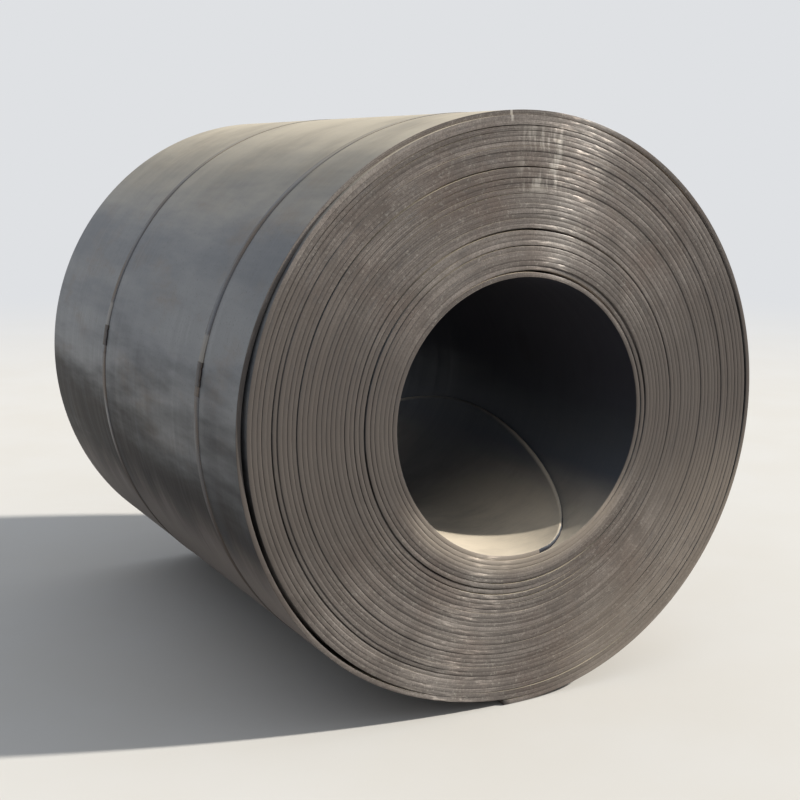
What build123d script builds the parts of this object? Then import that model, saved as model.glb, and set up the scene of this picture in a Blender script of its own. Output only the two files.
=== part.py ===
from build123d import *
import os
from math import cos, degrees, radians, sin

# A wide coil of hot-rolled steel strip, lying on its side with its axis level,
# held by two steel straps that go round it, each closed by one crimped seal.
#
# The axis runs along Y, and the near end is the one at -Y. The part rests on
# Z = 0. Clock angles are seen from the near end: 0 is straight down, and they
# grow towards +X. Lengths are in millimetres.

# The strip and how it is wound
strip_width = 1800.0
strip_thickness = 12.7
turn_gap = 0.8               # air between one turn and the next
turn_count = 32
bore_diameter = 762.0        # the mandrel that the strip was wound on

# The strip's inner end, rolled out to a rounded tongue and left uncut
head_clock = 10.0            # where the tongue starts, at both edges of the strip
tongue_length = 330.0        # how far its tip reaches on, square to the strip
head_ramp = 75.0             # clock angle in which the turn below comes up flush

# How the turns lie at each end of the coil
edge_step = 3.0              # how far one turn's edge stands back from the next
edge_wander = 1.6            # slow drift of the turns in and out
wander_turns = 11.0          # turns from one drift to the next

# Gaps where turns have parted: turns from the bore, and how deep the gap shows
near_gaps = {1: 10.0, 7: 14.0, 11: 8.0, 15: 9.0, 21: 8.0, 25: 12.0, 31: 16.0}
far_gaps = {1: 9.0, 5: 7.0, 13: 12.0, 17: 8.0, 23: 11.0, 31: 14.0}

# Borders that don't show, because the turns beside them lie flush
near_flush = (18, 19, 28, 29)
far_flush = (7, 8, 10, 11, 19, 20, 26, 27)

# The straps
strap_width = 32.0
strap_thickness = 1.0
near_strap_setback = 313.0   # from the near end to the strap's far edge
far_strap_setback = 1170.0

# The seals, each a sleeve crimped over the two layers of its strap
seal_length = 64.0           # round the coil
seal_wall = 1.6
seal_clock = -100.0          # just above the middle of the -X side
strap_tail = 26.0            # free strap end that shows past the seal
notch_radius = 5.0           # the crimps bitten out of the seal's two edges
notch_count = 2              # crimps on each edge

# Sizes that follow from the ones above
bore_radius = bore_diameter / 2
turn_pitch = strip_thickness + turn_gap
coil_radius = bore_radius + turn_count * turn_pitch
overlap_radius = coil_radius + strap_thickness
lap_radius = overlap_radius + strap_thickness
axis_height = overlap_radius
near_end = -strip_width / 2
far_end = strip_width / 2

coil_axis = Axis((0, 0, axis_height), (0, -1, 0))


def outward(clock):
    """Unit vector from the coil's axis towards a clock angle."""
    return Vector(sin(radians(clock)), 0, -cos(radians(clock)))


def section_plane(clock, along=0.0):
    """Plane through the axis: its x runs along the coil, its y outwards."""
    axial = Vector(0, 1, 0)
    return Plane(
        origin=(0, along, axis_height),
        x_dir=axial,
        z_dir=axial.cross(outward(clock)),
    )


def surface_plane(clock, along, radius):
    """Plane that touches the coil at a clock angle, facing outwards."""
    centre = Vector(0, along, axis_height) + outward(clock) * radius
    return Plane(origin=centre, x_dir=(0, 1, 0), z_dir=outward(clock))


def arc_degrees(length, radius):
    """Angle that a length takes up round the coil."""
    return degrees(length / radius)


def end_outline(end, inward, gaps, flush):
    """Points of the coil's end from the bore out, one for each border of a turn.

    Every second border stands out and the ones between lie back, so each
    turn shows as a ring of its own. An open gap goes deeper.
    """
    points = []
    for border in range(turn_count + 1):
        if border in flush:
            continue
        drift = edge_wander * (1 - cos(radians(360 * border / wander_turns))) / 2
        step = max(edge_step * (border % 2), gaps.get(border, 0.0))
        points.append((end + inward * (drift + step), bore_radius + border * turn_pitch))
    return points


# The coil is one turned solid. Its section has one short slope for the edge
# of each turn, at both ends.
near_outline = end_outline(near_end, 1, near_gaps, near_flush)
far_outline = end_outline(far_end, -1, far_gaps, far_flush)

with BuildPart() as coil:
    with BuildSketch(section_plane(180)):
        with BuildLine():
            Polyline(*near_outline, *reversed(far_outline), close=True)
        make_face()
    revolve(axis=coil_axis)

# Past the strip's inner end the bore steps out to the turn below. The step
# is one turn high at the end of the strip, and runs out to nothing.
across = Plane(origin=(0, near_end, axis_height), x_dir=(1, 0, 0), z_dir=(0, -1, 0))


def across_point(clock, radius):
    """Point in the plane across the coil, at a clock angle and a radius."""
    return (radius * sin(radians(clock)), -radius * cos(radians(clock)))


with BuildPart() as head_step:
    with BuildSketch(across):
        with BuildLine():
            outer = ThreePointArc(
                across_point(head_clock, bore_radius + turn_pitch),
                across_point(head_clock + head_ramp / 2, bore_radius + turn_pitch / 2),
                across_point(head_clock + head_ramp, bore_radius),
            )
            Polyline(outer @ 1, (0, 0), outer @ 0)
        make_face()
    extrude(amount=-strip_width)
    with BuildSketch(surface_plane(head_clock, 0, 0)):
        Ellipse(strip_width / 2, tongue_length)
    extrude(amount=bore_radius + 2 * turn_pitch, mode=Mode.SUBTRACT)

with coil:
    add(head_step.part, mode=Mode.SUBTRACT)


def build_strap(along):
    """A band pulled tight round the coil, lapped where its ends meet."""
    lap_length = seal_length + 2 * strap_tail
    lap_arc = arc_degrees(lap_length, overlap_radius)
    with BuildPart() as band:
        with BuildSketch(section_plane(180, along)):
            with Locations((0, coil_radius + strap_thickness / 2)):
                Rectangle(strap_width, strap_thickness)
        revolve(axis=coil_axis)
        with BuildSketch(section_plane(seal_clock - lap_arc / 2, along)):
            with Locations((0, overlap_radius + strap_thickness / 2)):
                Rectangle(strap_width, strap_thickness)
        revolve(axis=coil_axis, revolution_arc=lap_arc)
    return band


def build_seal(along):
    """A folded sleeve over the strap's lap, with crimps along both edges."""
    seal_arc = arc_degrees(seal_length, lap_radius)
    sleeve_width = strap_width + 2 * seal_wall
    sleeve_height = 2 * strap_thickness + seal_wall
    crimp_spacing = seal_length / notch_count
    with BuildPart() as sleeve:
        with BuildSketch(section_plane(seal_clock - seal_arc / 2, along)):
            with Locations((0, coil_radius + sleeve_height / 2)):
                Rectangle(sleeve_width, sleeve_height)
            with Locations((0, coil_radius + strap_thickness)):
                Rectangle(strap_width, 2 * strap_thickness, mode=Mode.SUBTRACT)
        revolve(axis=coil_axis, revolution_arc=seal_arc)
        for crimp in range(notch_count):
            offset = (crimp - (notch_count - 1) / 2) * crimp_spacing
            clock = seal_clock + arc_degrees(offset, lap_radius)
            with BuildSketch(surface_plane(clock, along, lap_radius)):
                with Locations((sleeve_width / 2, 0), (-sleeve_width / 2, 0)):
                    Ellipse(seal_wall * 0.75, notch_radius)
            extrude(amount=3 * seal_wall, mode=Mode.SUBTRACT)
    return sleeve


near_strap_place = near_end + near_strap_setback - strap_width / 2
far_strap_place = near_end + far_strap_setback - strap_width / 2

near_strap = build_strap(near_strap_place)
far_strap = build_strap(far_strap_place)
near_seal = build_seal(near_strap_place)
far_seal = build_seal(far_strap_place)

coil.part.label = "coil"
near_strap.part.label = "near_strap"
far_strap.part.label = "far_strap"
near_seal.part.label = "near_seal"
far_seal.part.label = "far_seal"

os.makedirs("parts", exist_ok=True)
export_step(coil.part, "parts/coil.step")
export_step(near_strap.part, "parts/near_strap.step")
export_step(far_strap.part, "parts/far_strap.step")
export_step(near_seal.part, "parts/near_seal.step")
export_step(far_seal.part, "parts/far_seal.step")
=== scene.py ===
"""Looks of a coil of hot-rolled steel strip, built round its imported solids.

Lengths are in metres. The coil's axis runs along Y, its near end is the one at -Y, and it
rests on Z = 0. Clock angles are in degrees, seen from the near end: 0 is straight down, and
they grow towards +X. From its inner end outwards, the strip travels as the clock falls.
"""

import logging
import math
from collections.abc import Iterable, Sequence
from dataclasses import dataclass, field
from enum import Enum

import bmesh
import bpy
import numpy as np
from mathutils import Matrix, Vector


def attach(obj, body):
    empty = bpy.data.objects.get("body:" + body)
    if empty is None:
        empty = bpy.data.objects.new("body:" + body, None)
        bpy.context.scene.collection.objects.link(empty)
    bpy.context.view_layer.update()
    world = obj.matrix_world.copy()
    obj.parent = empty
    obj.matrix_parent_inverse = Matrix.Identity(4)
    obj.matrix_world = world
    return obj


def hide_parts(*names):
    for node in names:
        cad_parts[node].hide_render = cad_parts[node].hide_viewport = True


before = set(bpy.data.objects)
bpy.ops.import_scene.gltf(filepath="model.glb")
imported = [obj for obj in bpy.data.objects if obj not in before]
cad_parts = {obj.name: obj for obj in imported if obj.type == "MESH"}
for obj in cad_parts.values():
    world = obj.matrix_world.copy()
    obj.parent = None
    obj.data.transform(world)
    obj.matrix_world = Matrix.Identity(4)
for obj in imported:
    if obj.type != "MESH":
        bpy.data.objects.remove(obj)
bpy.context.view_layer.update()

FULL_TURN = 360.0
MM = 0.001
LOG = logging.getLogger("steel_coil")

Material = bpy.types.Material
Piece = bpy.types.Object
Socket = bpy.types.NodeSocket
Value = Socket | float | Sequence[float]
Colour = tuple[float, float, float, float]
Span = tuple[float, float]


def paint(code: str) -> Colour:
    """Turn a screen colour into the linear one that a shader takes.

    Args:
        code: red, green and blue as six hexadecimal digits.

    Returns:
        The colour, opaque.
    """
    parts = [int(code[i:i + 2], 16) / 255 for i in (0, 2, 4)]
    linear = [p / 12.92 if p <= 0.04045 else ((p + 0.055) / 1.055) ** 2.4 for p in parts]
    return (linear[0], linear[1], linear[2], 1.0)


def smooth_step(share: np.ndarray) -> np.ndarray:
    """Ease a share from 0 to 1, flat at both ends and clipped past them."""
    share = np.clip(share, 0.0, 1.0)
    return share * share * (3 - 2 * share)


def clock_apart(clock: np.ndarray, centre: float) -> np.ndarray:
    """Clock angle between each place and a centre, from 0 to 180."""
    return np.abs((clock - centre + FULL_TURN / 2) % FULL_TURN - FULL_TURN / 2)


def swell(clock: np.ndarray, centre: float, reach: float, fade: float) -> np.ndarray:
    """A rise to 1 round a clock angle, which runs out at its reach on a slope of its fade."""
    return smooth_step((reach - clock_apart(clock, centre)) / fade)


def on_coil(clock: np.ndarray, radius: np.ndarray, along: np.ndarray, height: float) -> np.ndarray:
    """Points given by clock angle, radius and place along the axis.

    Args:
        clock: clock angles in degrees.
        radius: distances from the axis.
        along: places along the axis.
        height: the axis's height above the floor.

    Returns:
        The points, with x, y and z in the last dimension.
    """
    angle = np.radians(clock)
    x = radius * np.sin(angle)
    z = height - radius * np.cos(angle)
    return np.stack(np.broadcast_arrays(x, along, z), axis=-1)


class Finish(Enum):
    """Which finish a face of the strip takes, by its place in the piece's materials."""

    SKIN = 0
    EDGE = 1


class StrapPlace(Enum):
    """Where the middle of each strap is along the axis."""

    NEAR = -0.603
    FAR = 0.254


class Nodes:
    """A short way to write a tree of shader nodes."""

    def __init__(self, tree: bpy.types.NodeTree) -> None:
        """Take a tree over and empty it."""
        self.tree = tree
        self.tree.nodes.clear()

    def feed(self, socket: Socket, value: Value) -> None:
        """Join an output to a socket, or set the socket's own value.

        Args:
            socket: the socket.
            value: another node's output, or a plain value.
        """
        if isinstance(value, Socket):
            self.tree.links.new(value, socket)
        else:
            socket.default_value = value

    def node(self, kind: str, inputs: dict[str | int, Value] | None = None,
             **settings: object) -> bpy.types.Node:
        """Add one node.

        Args:
            kind: the node's type, without its ShaderNode prefix.
            inputs: sockets by name or number, with what feeds each.
            settings: the node's own properties.

        Returns:
            The node.
        """
        made = self.tree.nodes.new("ShaderNode" + kind)
        for key, value in settings.items():
            setattr(made, key, value)
        for key, value in (inputs or {}).items():
            self.feed(made.inputs[key], value)
        return made

    def wind(self) -> Socket:
        """Place on the strip: metres along it, across the coil and through its thickness."""
        return self.node("Attribute", attribute_name="wind").outputs["Vector"]

    def place(self) -> Socket:
        """Place in the coil's own frame."""
        return self.node("TexCoord").outputs["Object"]

    def looks_up(self) -> Socket:
        """How far the surface looks up, from -1 to 1."""
        return self.part(self.node("NewGeometry").outputs["Normal"], "Z")

    def part(self, vector: Socket, axis: str) -> Socket:
        """One of a vector's three parts."""
        return self.node("SeparateXYZ", {0: vector}).outputs[axis]

    def noise(self, vector: Socket, scale: float | tuple[float, float, float],
              detail: float = 3.0, rough: float = 0.55) -> Socket:
        """Cloudy noise from about 0.25 to 0.75.

        Args:
            vector: where it is read.
            scale: how many clouds there are to a metre, everywhere or along each axis.
            detail: how many finer layers it has.
            rough: how strong those are.

        Returns:
            The noise's value.
        """
        if isinstance(scale, tuple):
            vector = self.node("Mapping", {"Vector": vector, "Scale": scale}).outputs[0]
            scale = 1.0
        inputs = {"Vector": vector, "Scale": scale, "Detail": detail, "Roughness": rough}
        return self.node("TexNoise", inputs).outputs["Fac"]

    def maths(self, operation: str, first: Socket | float, second: Socket | float = 0.0) -> Socket:
        """One sum on two values."""
        return self.node("Math", {0: first, 1: second}, operation=operation).outputs[0]

    def times(self, first: Socket, *others: Socket | float) -> Socket:
        """Multiply values by each other.

        Args:
            first: the first value.
            others: the rest.

        Returns:
            Their product.
        """
        for other in others:
            first = self.maths("MULTIPLY", first, other)
        return first

    def weighted(self, first: Socket, second: Socket, share: float) -> Socket:
        """Two values, with the first's share of their mean."""
        return self.maths("ADD", self.times(first, share), self.times(second, 1 - share))

    def ragged(self, value: Socket, noise: Socket, size: float) -> Socket:
        """A value pushed up and down by a noise, so that a border read from it is ragged."""
        return self.maths("ADD", value, self.times(self.maths("SUBTRACT", noise, 0.5), size))

    def band(self, value: Socket, low: float, high: float, start: float = 0.0, end: float = 1.0) -> Socket:
        """Spread a value smoothly: start where it is low or less, end where it is high or more."""
        inputs = {"Value": value, "From Min": low, "From Max": high, "To Min": start, "To Max": end}
        return self.node("MapRange", inputs, interpolation_type="SMOOTHSTEP").outputs[0]

    def close_to(self, value: Socket, middle: float, reach: Span, most: float = 1.0) -> Socket:
        """The most up to the first distance from a middle, and 0 from the second on."""
        apart = self.maths("ABSOLUTE", self.maths("SUBTRACT", value, middle))
        return self.band(apart, *reach, most, 0.0)

    def mix(self, share: Socket | float, below: Socket | Colour, above: Socket | Colour,
            blend: str = "MIX") -> Socket:
        """Lay one colour over another.

        Args:
            share: how much of the upper colour shows.
            below: the lower colour.
            above: the upper colour.
            blend: how the upper one is laid on.

        Returns:
            The colour.
        """
        made = self.node("Mix", data_type="RGBA", blend_type=blend)
        factor, lower, upper = made.inputs[0], made.inputs[6], made.inputs[7]
        for socket, value in ((factor, share), (lower, below), (upper, above)):
            self.feed(socket, value)
        return made.outputs[2]

    def bump(self, height: Socket, depth: float, strength: float, below: Socket | None = None) -> Socket:
        """Raise the surface by a height.

        Args:
            height: the height, from 0 to 1.
            depth: what a height of 1 measures.
            strength: how far it is felt.
            below: a normal to add it to.

        Returns:
            The normal.
        """
        inputs = {"Height": height, "Distance": depth, "Strength": strength}
        if below is not None:
            inputs["Normal"] = below
        return self.node("Bump", inputs).outputs[0]

    def directly_seen(self) -> Socket:
        """Tell what the camera sees, also in a mirror or through glass, from bounce light.

        Returns:
            1 for what is seen, and 0 for bounce light.
        """
        path = self.node("LightPath")
        seen = self.maths("MAXIMUM", path.outputs["Is Camera Ray"], path.outputs["Is Glossy Ray"])
        return self.maths("MAXIMUM", seen, path.outputs["Is Transmission Ray"])


class Shader(Nodes):
    """One material and its nodes."""

    def __init__(self, name: str) -> None:
        """Start a material with no nodes.

        Args:
            name: the material's name.
        """
        self.material = bpy.data.materials.new(name)
        self.material.use_nodes = True
        super().__init__(self.material.node_tree)

    def surface(self, **inputs: Value) -> Material:
        """End the material with one Principled shader.

        Args:
            inputs: its sockets by name, with low lines for spaces.

        Returns:
            The finished material.
        """
        named = {key.replace("_", " "): value for key, value in inputs.items()}
        shader = self.node("BsdfPrincipled", named)
        self.node("OutputMaterial", {"Surface": shader.outputs[0]})
        return self.material


@dataclass(frozen=True)
class MillScale:
    """The blue grey skin of hot-rolled strip, with brown stain, painted shade on its downward flank, a pale
    crust lowest down that is partly painted bounce light, and dust where it settles, partly painted sunlight
    on the top.

    Attributes:
        name: the material's name.
        deep: the skin's darker tone.
        pale: its lighter tone.
        stain: the brown of thin rust.
        under: its darker tone on the flank that looks down, painted shade.
        mud_and_bounce: what has dried on it near the ground, pale, and partly painted bounce light from the
            floor.
        film: the thinnest dust.
        film_share: how much of that shows, most on faces that look up; in the bore its bluish tone is partly
            painted sky light.
        dust_and_light: the pale cream where dust lies on it, which on the top is partly painted sunlight.
        dust_up: how far a face looks up where dust begins to show, and where it is thickest.
        dust_ragged: how ragged the dust's border is.
        dust_and_light_inside: share of it that lies half way along the coil; a low share darkens the middle
            of the bore as painted shade.
        dust_blown: how far from there all of it lies again.
        gloss: roughness of the clean skin.
        sheen: how much the skin is metal.
        ior: how strongly its clear surface reflects.
    """

    name: str = "mill_scale"
    deep: Colour = paint("5b6067")
    pale: Colour = paint("7f8183")
    stain: Colour = paint("6f645a")
    under: Colour = paint("3f3934")
    mud_and_bounce: Colour = paint("aca29b")
    film: Colour = paint("565b64")
    film_share: float = 0.0
    dust_and_light: Colour = paint("dbd0bb")
    dust_up: Span = (0.52, 1.0)
    dust_ragged: float = 0.35
    dust_and_light_inside: float = 1.0
    dust_blown: float = 0.6
    gloss: float = 0.42
    sheen: float = 0.15
    ior: float = 1.5

    def bare_skin(self, s: Shader, clouds: Socket, rolling: Socket, fine: Socket) -> Socket:
        """The skin as rolled, in clouds and in lines along the strip, with brown blooms.

        Args:
            s: the material.
            clouds: noise of the large clouds.
            rolling: noise of the lines that the rolls left.
            fine: noise of the finest lines.

        Returns:
            Its colour.
        """
        colour = s.mix(s.band(s.weighted(clouds, rolling, 0.75), 0.38, 0.62), self.deep, self.pale)
        blooms = s.noise(s.wind(), scale=(5.98, 2.34, 1.3), detail=6.0, rough=0.65)
        colour = s.mix(s.band(blooms, 0.5, 0.72, 0.0, 0.65), colour, self.stain)
        return s.mix(s.band(fine, 0.55, 0.75, 0.0, 0.25), colour, self.pale)

    def shaded_and_soiled(self, s: Shader, colour: Socket, up: Socket, facing_down: Socket) -> Socket:
        """Painted shade on the flank that looks down, a pale dried crust below it that is partly painted
        bounce light, and a film of dust above.

        Args:
            s: the material.
            colour: the skin's colour.
            up: how far the surface looks up.
            facing_down: how far the surface looks down, which sets where the painted shade lies.

        Returns:
            The colour with its painted shade, its pale crust and its film.
        """
        smears = s.noise(s.wind(), scale=(2.8, 7.0, 1.0), detail=4.0, rough=0.6)
        # Painted shade: the flank that looks down is darkened.
        colour = s.mix(s.times(facing_down, s.band(smears, 0.5, 0.72, 1.0, 0.7)), colour, self.under)
        # Below that, a pale dried crust, partly painted bounce light from the floor.
        colour = s.mix(s.band(s.ragged(up, smears, 0.3), -0.54, -0.28, 0.8, 0.0), colour, self.mud_and_bounce)
        # A thin film on faces that look up; in the bore its bluish tone is partly painted sky light.
        return s.mix(s.band(up, -0.3, 0.75, 0.0, self.film_share), colour, self.film)

    def dust_and_light_cover(self, s: Shader, up: Socket, clouds: Socket) -> Socket:
        """How much of the skin the pale cream covers: dust on faces that look up, partly painted sunlight on
        the top.

        Args:
            s: the material.
            up: how far the surface looks up.
            clouds: noise of the large clouds.

        Returns:
            The share of the skin that the cream covers.
        """
        dust_and_light_share = s.band(s.ragged(up, clouds, self.dust_ragged), *self.dust_up, 0.0, 0.9)
        # Less of it towards the middle of the coil; in the bore that is painted shade.
        from_middle = s.maths("ABSOLUTE", s.part(s.place(), "Y"))
        return s.times(dust_and_light_share, s.band(from_middle, 0.0, self.dust_blown, self.dust_and_light_inside, 1.0))

    def material(self) -> Material:
        """Make the material.

        Returns:
            The material.
        """
        s = Shader(self.name)
        wind, up = s.wind(), s.looks_up()
        clouds = s.noise(wind, scale=(5.0, 0.9, 1.0), detail=5.0, rough=0.6)
        rolling = s.noise(wind, scale=(0.9, 60.0, 1.0), detail=4.0, rough=0.65)
        fine = s.noise(wind, scale=(12.0, 420.0, 1.0))
        specks = s.noise(s.place(), scale=170.0, detail=2.0, rough=0.6)
        powder = s.noise(wind, scale=(2.2, 3.4, 1.0), detail=6.0, rough=0.65)
        # How far the surface looks down: there it gets painted shade, and is rougher and less shiny.
        facing_down = s.band(s.ragged(up, clouds, 1.2), -0.3, 0.3, 0.85, 0.0)
        # Cream on faces that look up: partly dust, and on the top partly painted sunlight.
        dust_and_light_share = self.dust_and_light_cover(s, up, clouds)
        colour = self.bare_skin(s, clouds, rolling, fine)
        colour = s.mix(s.band(specks, 0.6, 0.72, 0.0, 0.4), colour, self.deep, "MULTIPLY")
        colour = self.shaded_and_soiled(s, colour, up, facing_down)
        # The cream's tone, partly painted sunlight, streaked with stain.
        dust_and_light_tone = s.mix(s.band(powder, 0.38, 0.66, 0.0, 0.28), self.dust_and_light, self.stain)
        colour = s.mix(s.times(dust_and_light_share, s.band(fine, 0.5, 0.74, 1.0, 0.86)), colour, dust_and_light_tone)
        gloss = s.band(rolling, 0.3, 0.7, self.gloss - 0.07, self.gloss + 0.08)
        gloss = s.maths("ADD", gloss, s.times(dust_and_light_share, 0.25))
        gloss = s.maths("ADD", gloss, s.times(facing_down, 0.2))
        normal = s.bump(rolling, 0.6 * MM, 0.35)
        normal = s.bump(specks, 0.4 * MM, 0.25, normal)
        shine = s.band(s.maths("MAXIMUM", facing_down, dust_and_light_share), 0.0, 0.8, 0.5, 0.12)
        return s.surface(Base_Color=colour, Roughness=gloss, Normal=normal, Metallic=self.sheen,
                         IOR=self.ior, Specular_IOR_Level=shine)


@dataclass(frozen=True)
class MillEdge:
    """The rolled edges of the strip: brown grey, each turn with a tone of its own.

    Attributes:
        name: the material's name.
        dark: the tone of the dirtier turns, also laid on both sides of the end as painted shade.
        light: the tone of the cleaner turns.
        rust: the brown between them.
        bare: steel rubbed bright.
        dust_and_light: the pale tan under the bore and low on the +X side, where it is partly painted light.
        scratched: middle of the scratches above the bore, along X and above the floor.
        nicked: place of the nick in the rim, in the same way.
    """

    name: str = "mill_edge"
    dark: Colour = paint("5f5955")
    light: Colour = paint("9a928c")
    rust: Colour = paint("70635c")
    bare: Colour = paint("b5b0a8")
    dust_and_light: Colour = paint("a79c90")
    scratched: tuple[float, float] = (0.06, 1.5)
    nicked: tuple[float, float] = (-0.042, 1.6)

    def rolled(self, s: Shader, lines: Socket, patches: Socket, grain: Socket) -> Socket:
        """The edges as rolled and stored: a tone for each turn, rust, blotches and flecks.

        Args:
            s: the material.
            lines: noise of the lines along each edge.
            patches: noise of the large patches.
            grain: noise of the finest grain.

        Returns:
            Their colour.
        """
        place = s.place()
        turn = s.noise(s.wind(), scale=(0.5, 0.0, 0.0), detail=1.0)
        blotches = s.noise(place, scale=8.0, detail=6.0, rough=0.65)
        flecks = s.noise(place, scale=110.0, rough=0.7)
        colour = s.mix(s.band(s.weighted(turn, lines, 0.5), 0.36, 0.64), self.dark, self.light)
        colour = s.mix(s.band(patches, 0.42, 0.68, 0.0, 0.6), colour, self.rust)
        colour = s.mix(s.band(grain, 0.35, 0.65, 0.0, 0.35), colour, self.dark, "MULTIPLY")
        colour = s.mix(s.band(blotches, 0.48, 0.66, 0.0, 0.6), colour, self.dark)
        return s.mix(s.band(flecks, 0.56, 0.7, 0.0, 0.35), colour, self.bare)

    def knocks(self, s: Shader) -> Socket:
        """Short upright scratches above the bore and a nick in the rim, on the near end.

        Args:
            s: the material.

        Returns:
            How bare the steel is.
        """
        place = s.place()
        side, along, height = (s.part(place, axis) for axis in "XYZ")
        streaks = s.noise(place, scale=(60.0, 1.0, 13.0), detail=2.0)
        scratches = s.times(s.band(streaks, 0.48, 0.68, 0.0, 0.7),
                            s.close_to(side, self.scratched[0], (0.04, 0.1)),
                            s.close_to(height, self.scratched[1], (0.05, 0.11)))
        nick = s.times(s.close_to(side, self.nicked[0], (2 * MM, 5 * MM), 0.9),
                       s.band(height, self.nicked[1] - 4 * MM, self.nicked[1]))
        return s.times(s.maths("MAXIMUM", scratches, nick), s.maths("LESS_THAN", along, 0.0))

    def shaded_and_weathered(self, s: Shader, colour: Socket, patches: Socket) -> Socket:
        """Painted shade at the end's two sides, bare where it is knocked, and pale tan low down, which on the
        +X side is partly painted light.

        Args:
            s: the material.
            colour: the edges' colour.
            patches: noise of the large patches.

        Returns:
            The colour with its painted shade, knocks and pale tan.
        """
        place = s.place()
        side, height = s.part(place, "X"), s.part(place, "Z")
        axis = (0.0, 0.0, Winding.axis_height)
        centred = s.node("VectorMath", {0: place, 1: axis}, operation="SUBTRACT").outputs[0]
        flat = s.node("VectorMath", {0: centred, 1: (1.0, 0.0, 1.0)}, operation="MULTIPLY").outputs[0]
        radius = s.node("VectorMath", {0: flat}, operation="LENGTH").outputs["Value"]
        sideways = s.maths("DIVIDE", s.maths("ABSOLUTE", s.part(flat, "X")), radius)
        # Painted shade: darker towards both sides of the end.
        darker = s.band(s.ragged(sideways, patches, 0.2), 0.7, 0.98, 0.0, 0.95)
        colour = s.mix(darker, colour, self.dark)
        colour = s.mix(self.knocks(s), colour, self.bare)
        # Pale tan just under the bore, and low on the +X side, where it is partly painted light.
        ragged = s.maths("ADD", radius, s.times(patches, 0.04))
        under_bore = s.times(s.band(ragged, 0.42, 0.47, 0.75, 0.0), s.band(height, 0.5, 0.66, 1.0, 0.0))
        low_rim_dust_and_light = s.times(s.band(radius, 0.48, 0.8, 0.1, 0.4), s.band(height, 0.5, 0.8, 1.0, 0.0),
                          s.band(side, 0.0, 0.3))
        return s.mix(s.maths("MAXIMUM", under_bore, low_rim_dust_and_light), colour, self.dust_and_light)

    def spots(self, s: Shader) -> Socket:
        """Short bright places on some of the turns, which break the light's glint up.

        Args:
            s: the material.

        Returns:
            How bright each place is, from 0 to 1.
        """
        wind = s.wind()
        glints = s.noise(wind, scale=(22.0, 0.0, 150.0), rough=0.6)
        clusters = s.noise(wind, scale=(5.0, 0.0, 0.0), detail=2.0)
        return s.times(s.band(glints, 0.48, 0.62), s.band(clusters, 0.42, 0.58, 0.1, 1.0))

    def material(self) -> Material:
        """Make the material.

        Returns:
            The material.
        """
        s = Shader(self.name)
        place = s.place()
        lines = s.noise(s.wind(), scale=(1.6, 0.0, 420.0), rough=0.6)
        grain = s.noise(place, scale=260.0, rough=0.6)
        patches = s.noise(place, scale=4.5, detail=4.0)
        colour = self.shaded_and_weathered(s, self.rolled(s, lines, patches, grain), patches)
        gloss = s.band(s.weighted(lines, patches, 0.6), 0.36, 0.64, 0.32, 0.5)
        gloss = s.maths("ADD", gloss, s.band(s.part(place, "Z"), 0.3, 0.8, 0.16, 0.0))
        normal = s.bump(lines, 0.4 * MM, 0.4)
        normal = s.bump(grain, 0.4 * MM, 0.1, normal)
        spots = self.spots(s)
        brushed = s.node("Tangent", direction_type="RADIAL", axis="Y").outputs[0]
        return s.surface(Base_Color=colour, Roughness=gloss, Normal=normal,
                         Metallic=s.band(spots, 0.0, 1.0, 0.03, 0.6),
                         Specular_IOR_Level=s.band(spots, 0.0, 1.0, 0.2, 0.7),
                         Anisotropic=0.95, Anisotropic_Rotation=0.25, Tangent=brushed)


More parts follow.
